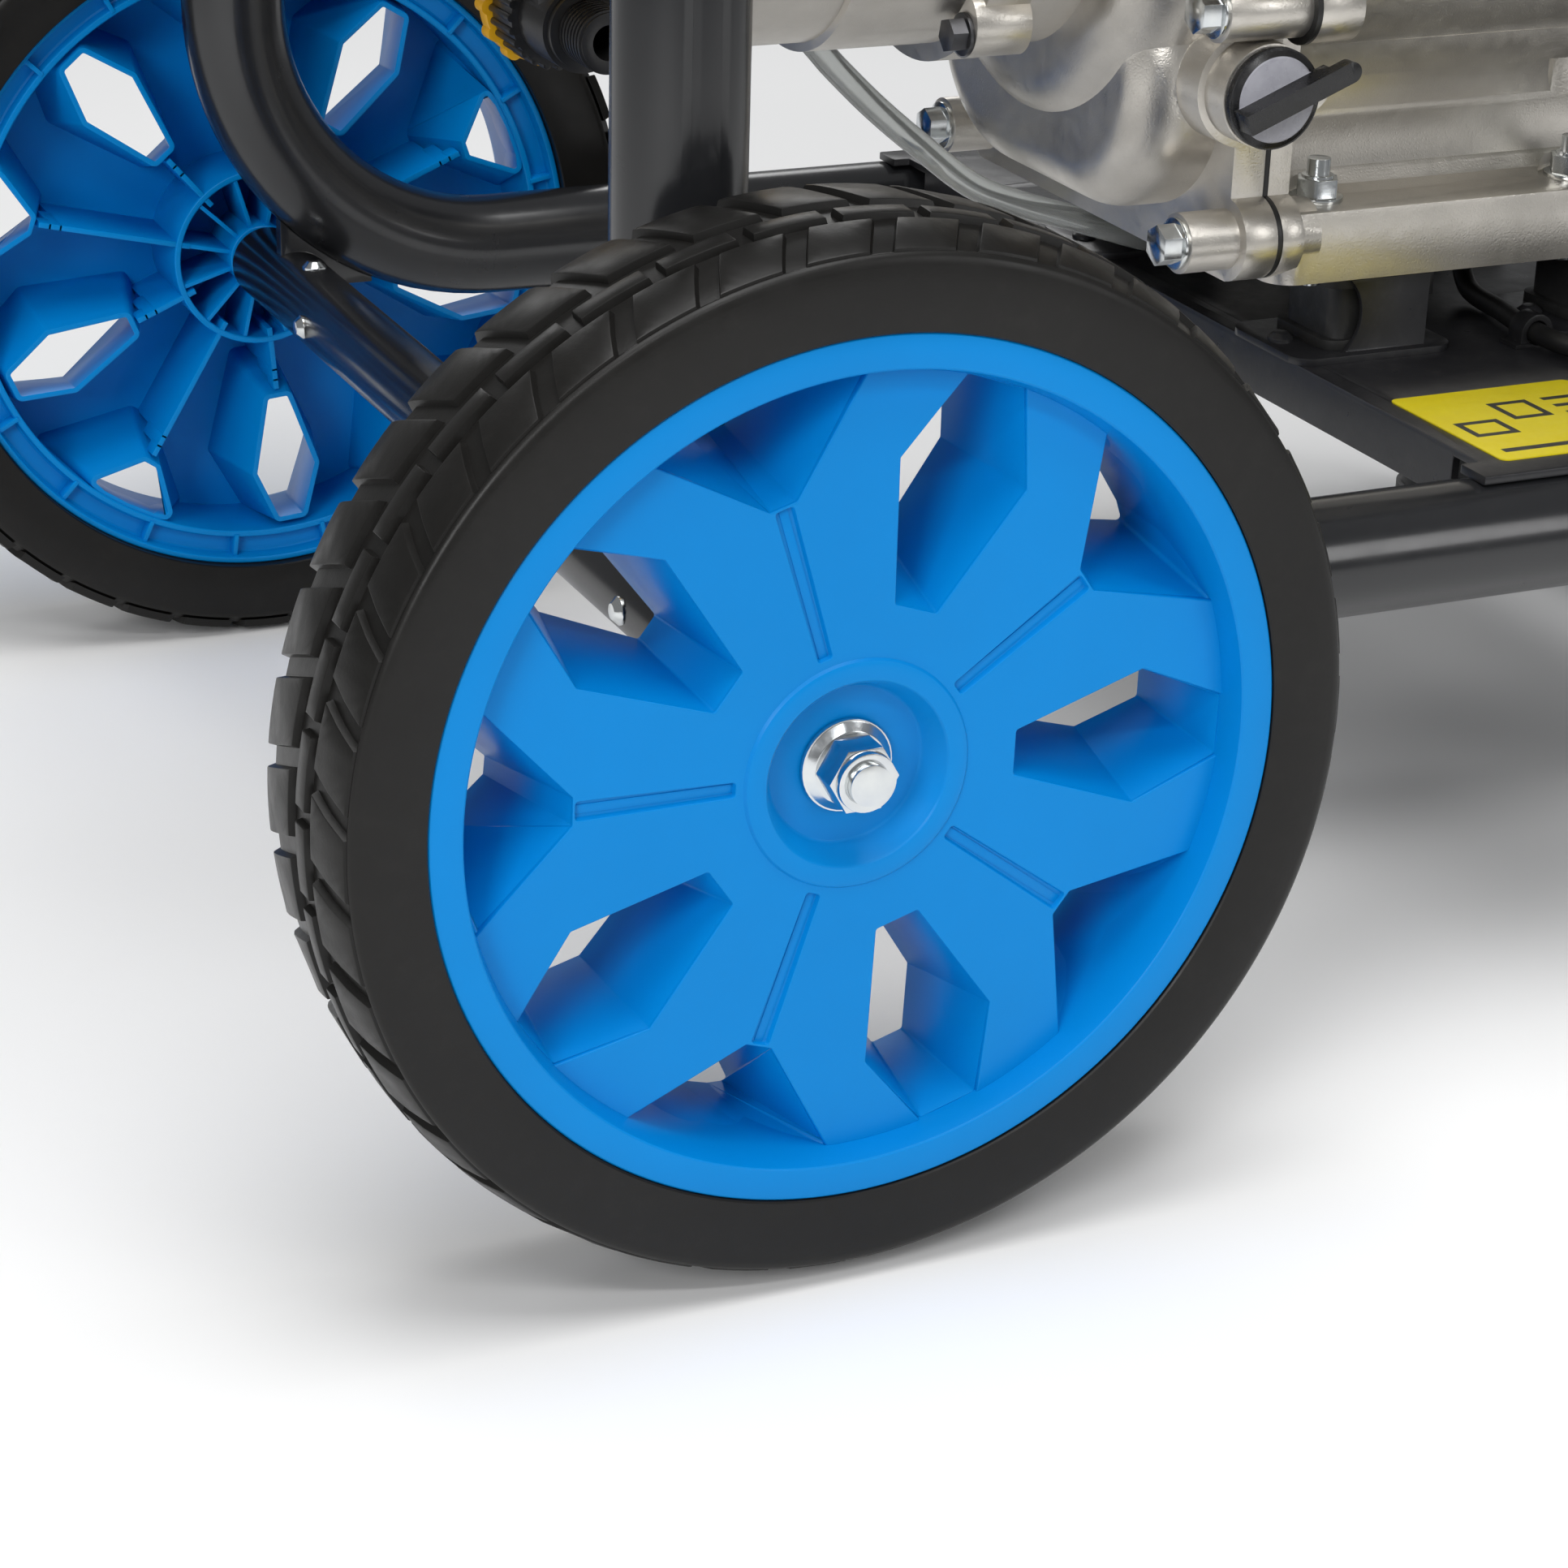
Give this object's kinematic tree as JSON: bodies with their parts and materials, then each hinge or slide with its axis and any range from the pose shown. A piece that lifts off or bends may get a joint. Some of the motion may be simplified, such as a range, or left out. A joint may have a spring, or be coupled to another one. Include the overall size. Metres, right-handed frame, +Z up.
{
  "type": "wheeled pressure washer",
  "caption": "Wheeled petrol pressure washer: tube frame with push handle, spoked wheels, slant engine on rubber mounts driving an axial water pump.",
  "frame": {"origin": "centre of the machine's overall box, on the ground; the axle is 0.1941 m behind it", "axes": "+X forward from the wheels to the front legs and the engine's starter end, +Y across to the wheel on the far side of the picture, +Z up"},
  "size_m": [0.7398, 0.604, 0.8351],
  "materials": {
    "frame_paint": "gloss",
    "zinc_steel": "bright zinc",
    "black_rubber": "matte",
    "black_plastic": "satin",
    "black_paint": "satin",
    "label_yellow": "gloss film",
    "cable_black": "satin",
    "wheel_blue": "satin gloss",
    "tyre_rubber": "matte",
    "cast_aluminium": "cast",
    "brass": "machined",
    "dark_steel": "black oxide",
    "collar_yellow": "satin",
    "clear_tube": "clear vinyl",
    "grey_plastic": "satin",
    "ceramic": "glazed",
    "housing_paint": "satin",
    "cast_iron": "cast",
    "red_plastic": "gloss",
    "tank_black": "gloss",
    "muffler_steel": "heat dulled"
  },
  "bodies": {
    "frame": {"side_tube_near": "frame_paint", "side_tube_far": "frame_paint", "cross_tubes": "frame_paint", "axle_tube": "frame_paint", "axle_bolts": "zinc_steel", "axle_nuts": "zinc_steel", "rivets": "zinc_steel", "rubber_feet": "black_rubber", "handle_tube": "frame_paint", "handle_grip": "black_rubber", "handle_bolts": "black_plastic", "base_plate": "black_paint", "warning_label": "label_yellow", "mount_brackets": "black_paint", "engine_mounts": "black_rubber", "mount_nuts": "zinc_steel", "throttle_cable": "cable_black", "cable_clip": "black_plastic", "pump_body": "cast_aluminium", "pump_head": "brass", "pump_caps": "brass", "pump_bolts": "dark_steel", "water_inlet": "black_plastic", "inlet_ring": "collar_yellow", "pressure_outlet": "brass", "detergent_tube": "clear_tube", "detergent_strainer": "black_plastic", "crankcase": "cast_aluminium", "side_cover": "cast_aluminium", "cover_gasket": "cable_black", "cover_bolts": "zinc_steel", "drain_bolt": "zinc_steel", "cylinder_block": "cast_aluminium", "cylinder_head": "cast_aluminium", "rocker_cover": "black_paint", "spark_plug": "ceramic", "spark_lead": "cable_black", "blower_housing": "housing_paint", "recoil_cover": "black_plastic", "fuel_tank": "tank_black", "muffler": "muffler_steel", "muffler_guard": "black_paint", "air_filter": "black_plastic", "carburettor": "cast_aluminium", "control_panel": "black_plastic"},
    "wheel_near": {"rim_near": "wheel_blue", "tyre_near": "tyre_rubber"},
    "wheel_far": {"rim_far": "wheel_blue", "tyre_far": "tyre_rubber"},
    "rotor": {"flywheel": "cast_iron"},
    "starter_grip": {"recoil_grip": "black_plastic"},
    "oil_cap_body": {"oil_cap": "grey_plastic"},
    "oil_plug_body": {"oil_plug": "black_plastic"},
    "choke": {"choke_lever": "black_plastic"},
    "fuel_valve": {"fuel_lever": "red_plastic"},
    "throttle": {"throttle_lever": "black_plastic"},
    "switch_knob": {"engine_switch": "red_plastic"},
    "unloader": {"unloader_knob": "black_plastic"},
    "filter_knob": {"air_filter_knob": "black_plastic"},
    "tank_cap": {"fuel_cap": "black_plastic"}
  },
  "joints": [
    {"name": "wheel_near_spin", "type": "hinge", "parent": "frame", "child": "wheel_near", "pos_m": [-0.19411, -0.275, 0.1525], "axis": [0, 1, 0], "continuous": true},
    {"name": "wheel_far_spin", "type": "hinge", "parent": "frame", "child": "wheel_far", "pos_m": [-0.19411, 0.275, 0.1525], "axis": [0, 1, 0], "continuous": true},
    {"name": "crank_spin", "type": "hinge", "parent": "frame", "child": "rotor", "pos_m": [0.22589, -0.005, 0.3425], "axis": [1, 0, 0], "continuous": true},
    {"name": "starter_pull", "type": "slide", "parent": "frame", "child": "starter_grip", "axis": [0, 0.6129, 0.7902], "range_m": [0, 0.5]},
    {"name": "oil_cap_turn", "type": "hinge", "parent": "frame", "child": "oil_cap_body", "pos_m": [0.03289, -0.11, 0.281], "axis": [0, -1, 0], "range_deg": [0, 360]},
    {"name": "oil_plug_turn", "type": "hinge", "parent": "frame", "child": "oil_plug_body", "pos_m": [0.03289, 0.0983, 0.2705], "axis": [0, 1, 0], "range_deg": [0, 360]},
    {"name": "choke_turn", "type": "hinge", "parent": "frame", "child": "choke", "pos_m": [0.22999, -0.152, 0.4505], "axis": [1, 0, 0], "range_deg": [-35, 10]},
    {"name": "fuel_valve_turn", "type": "hinge", "parent": "frame", "child": "fuel_valve", "pos_m": [0.22999, -0.152, 0.4145], "axis": [1, 0, 0], "range_deg": [0, 45]},
    {"name": "throttle_turn", "type": "hinge", "parent": "frame", "child": "throttle", "pos_m": [0.28009, -0.08, 0.4325], "axis": [1, 0, 0], "range_deg": [-25, 25]},
    {"name": "switch_turn", "type": "hinge", "parent": "frame", "child": "switch_knob", "pos_m": [0.29609, -0.112, 0.3635], "axis": [1, 0, 0], "range_deg": [0, 60]},
    {"name": "unloader_turn", "type": "hinge", "parent": "frame", "child": "unloader", "pos_m": [-0.17211, -0.005, 0.4005], "axis": [0, 0, 1], "range_deg": [0, 270]},
    {"name": "filter_knob_turn", "type": "hinge", "parent": "frame", "child": "filter_knob", "pos_m": [0.20889, -0.124, 0.5545], "axis": [0, 0, 1], "range_deg": [0, 360]},
    {"name": "fuel_cap_turn", "type": "hinge", "parent": "frame", "child": "tank_cap", "pos_m": [0.13589, 0.052, 0.5615], "axis": [0, 0, 1], "range_deg": [0, 90]}
  ]
}
